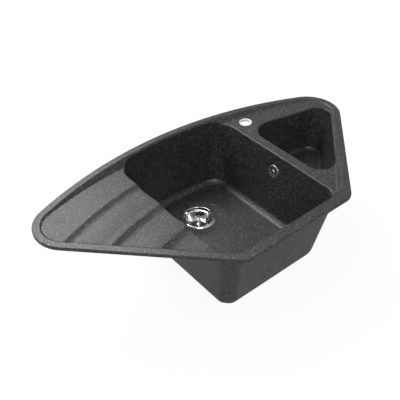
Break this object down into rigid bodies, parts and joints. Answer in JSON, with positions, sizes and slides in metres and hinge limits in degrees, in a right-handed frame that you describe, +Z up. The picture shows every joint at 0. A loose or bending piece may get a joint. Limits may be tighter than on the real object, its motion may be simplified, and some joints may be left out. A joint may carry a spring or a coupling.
{
  "type": "corner kitchen sink",
  "caption": "Corner kitchen sink in black stone composite, with a deep bowl, a half bowl, a drainer with curved troughs, basket wastes and an overflow.",
  "frame": {"origin": "on the flat underside of the rim, at the middle of the straight front edge, 11 mm behind the rim's outer front edge", "axes": "+X along the front edge to the right, as a person at the sink sees it; +Y towards the curved back; +Z up, out of the bowls"},
  "size_m": [1.0613, 0.5649, 0.306],
  "materials": {
    "granite_composite": "satin",
    "polished_steel": "polished",
    "white_plastic": "satin",
    "black_rubber": "matte",
    "brass": "satin",
    "seal_foam": "matte"
  },
  "bodies": {
    "sink": {"sink_body": "granite_composite", "rim_seal": "seal_foam", "main_strainer_flange": "polished_steel", "main_flange_gasket": "black_rubber", "main_body_gasket": "black_rubber", "main_waste_body": "white_plastic", "main_waste_screw": "polished_steel", "main_screw_insert": "brass", "half_strainer_flange": "polished_steel", "half_flange_gasket": "black_rubber", "half_body_gasket": "black_rubber", "half_waste_body": "white_plastic", "half_waste_screw": "polished_steel", "half_screw_insert": "brass", "overflow_rosette": "polished_steel", "overflow_screw": "polished_steel", "overflow_gasket": "black_rubber", "overflow_housing": "white_plastic", "overflow_pipe": "white_plastic", "pipe_nut_upper": "white_plastic", "pipe_nut_lower": "white_plastic", "pipe_seal_upper": "black_rubber", "pipe_seal_lower": "black_rubber"},
    "main_basket": {"main_basket": "polished_steel", "main_basket_seal": "black_rubber", "main_basket_knob": "polished_steel"},
    "half_basket": {"half_basket": "polished_steel", "half_basket_seal": "black_rubber", "half_basket_knob": "polished_steel"}
  },
  "joints": [
    {"name": "main_basket_lift", "type": "slide", "parent": "sink", "child": "main_basket", "axis": [0, 0, 1], "range_m": [0, 0.06]},
    {"name": "half_basket_lift", "type": "slide", "parent": "sink", "child": "half_basket", "axis": [0, 0, 1], "range_m": [0, 0.06]}
  ]
}
